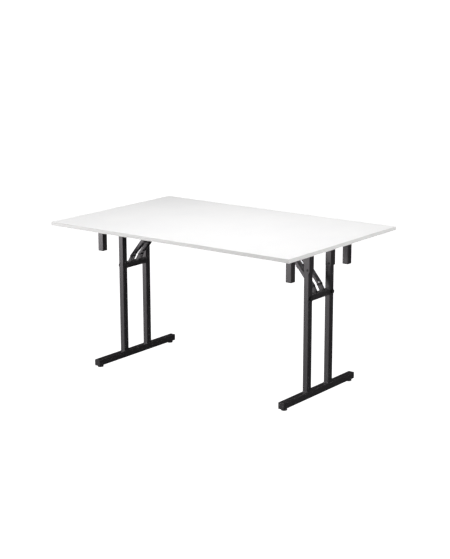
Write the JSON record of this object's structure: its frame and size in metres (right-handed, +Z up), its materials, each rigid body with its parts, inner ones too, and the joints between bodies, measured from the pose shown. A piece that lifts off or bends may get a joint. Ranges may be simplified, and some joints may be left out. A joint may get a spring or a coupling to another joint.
{
  "type": "folding table",
  "caption": "Rectangular laminated tabletop on T-shaped steel leg frames that fold flat under it, with sliding braces, release latches, stacking posts and levelling glides.",
  "frame": {"origin": "On the floor, under the middle of the board, with the legs down", "axes": "+X along the board's length, +Y across its depth, +Z up to the work surface"},
  "size_m": [1.4, 0.9, 0.75],
  "materials": {
    "white_laminate": "satin",
    "edge_band": "satin",
    "black_steel": "satin powder coat",
    "black_plastic": "moulded",
    "black_rubber": "matte",
    "zinc_steel": "zinc plated"
  },
  "bodies": {
    "tabletop": {"tabletop_board": "white_laminate", "edge_bands": "edge_band", "mounting_rail_left": "black_steel", "mounting_rail_right": "black_steel", "wood_screws": "zinc_steel", "stacking_post_front_left": "black_steel", "stacking_post_front_right": "black_steel", "stacking_post_rear_left": "black_steel", "stacking_post_rear_right": "black_steel", "post_caps": "black_plastic", "pivot_bracket_front_left": "black_steel", "pivot_bracket_front_right": "black_steel", "pivot_bracket_rear_left": "black_steel", "pivot_bracket_rear_right": "black_steel", "pivot_pins": "black_steel", "slide_guide_left": "black_steel", "slide_guide_right": "black_steel"},
    "leg_frame_left": {"upright_front_left": "black_steel", "upright_rear_left": "black_steel", "crossbar_left": "black_steel", "foot_tube_left": "black_steel", "foot_caps_left": "black_plastic", "pivot_bushes_left": "black_plastic", "bumpers_left": "black_rubber", "brace_lugs_left": "black_steel", "glide_inserts_left": "zinc_steel"},
    "glide_front_left": {"glide_front_left": "black_plastic", "glide_stem_front_left": "zinc_steel"},
    "glide_rear_left": {"glide_rear_left": "black_plastic", "glide_stem_rear_left": "zinc_steel"},
    "brace_left": {"brace_front_left": "black_steel", "brace_rear_left": "black_steel", "slide_rod_left": "zinc_steel", "brace_pins_left": "black_steel", "cross_pins_left": "black_steel", "latch_spring_left": "black_steel"},
    "latch_left": {"latch_bar_left": "black_steel", "latch_handle_left": "black_steel"},
    "leg_frame_right": {"upright_front_right": "black_steel", "upright_rear_right": "black_steel", "crossbar_right": "black_steel", "foot_tube_right": "black_steel", "foot_caps_right": "black_plastic", "pivot_bushes_right": "black_plastic", "bumpers_right": "black_rubber", "brace_lugs_right": "black_steel", "glide_inserts_right": "zinc_steel"},
    "glide_front_right": {"glide_front_right": "black_plastic", "glide_stem_front_right": "zinc_steel"},
    "glide_rear_right": {"glide_rear_right": "black_plastic", "glide_stem_rear_right": "zinc_steel"},
    "brace_right": {"brace_front_right": "black_steel", "brace_rear_right": "black_steel", "slide_rod_right": "zinc_steel", "brace_pins_right": "black_steel", "cross_pins_right": "black_steel", "latch_spring_right": "black_steel"},
    "latch_right": {"latch_bar_right": "black_steel", "latch_handle_right": "black_steel"}
  },
  "joints": [
    {"name": "leg_fold_left", "type": "hinge", "parent": "tabletop", "child": "leg_frame_left", "pos_m": [-0.566, 0, 0.657], "axis": [0, -1, 0], "range_deg": [0, 90]},
    {"name": "brace_turn_left", "type": "hinge", "parent": "leg_frame_left", "child": "brace_left", "pos_m": [-0.543, 0, 0.528], "axis": [0, -1, 0], "range_deg": [-132.6, 0]},
    {"name": "latch_slide_left", "type": "slide", "parent": "brace_left", "child": "latch_left", "axis": [-0.6353, 0, -0.7723], "range_m": [0, 0.01], "stiffness_N_per_m": 600, "springref_m": -0.012, "deforming": ["latch_spring_left"]},
    {"name": "glide_height_front_left", "type": "slide", "parent": "leg_frame_left", "child": "glide_front_left", "axis": [0, 0, -1], "range_m": [0, 0.01]},
    {"name": "glide_height_rear_left", "type": "slide", "parent": "leg_frame_left", "child": "glide_rear_left", "axis": [0, 0, -1], "range_m": [0, 0.01]},
    {"name": "leg_fold_right", "type": "hinge", "parent": "tabletop", "child": "leg_frame_right", "pos_m": [0.566, 0, 0.62], "axis": [0, 1, 0], "range_deg": [0, 90]},
    {"name": "brace_turn_right", "type": "hinge", "parent": "leg_frame_right", "child": "brace_right", "pos_m": [0.543, 0, 0.528], "axis": [0, 1, 0], "range_deg": [-124.5, 0]},
    {"name": "latch_slide_right", "type": "slide", "parent": "brace_right", "child": "latch_right", "axis": [0.6353, 0, -0.7723], "range_m": [0, 0.01], "stiffness_N_per_m": 600, "springref_m": -0.012, "deforming": ["latch_spring_right"]},
    {"name": "glide_height_front_right", "type": "slide", "parent": "leg_frame_right", "child": "glide_front_right", "axis": [0, 0, -1], "range_m": [0, 0.01]},
    {"name": "glide_height_rear_right", "type": "slide", "parent": "leg_frame_right", "child": "glide_rear_right", "axis": [0, 0, -1], "range_m": [0, 0.01]}
  ],
  "couplings": [
    {"joint": "brace_turn_left", "follows": "leg_fold_left", "ratio": -1.47},
    {"joint": "brace_turn_right", "follows": "leg_fold_right", "ratio": -1.38}
  ]
}
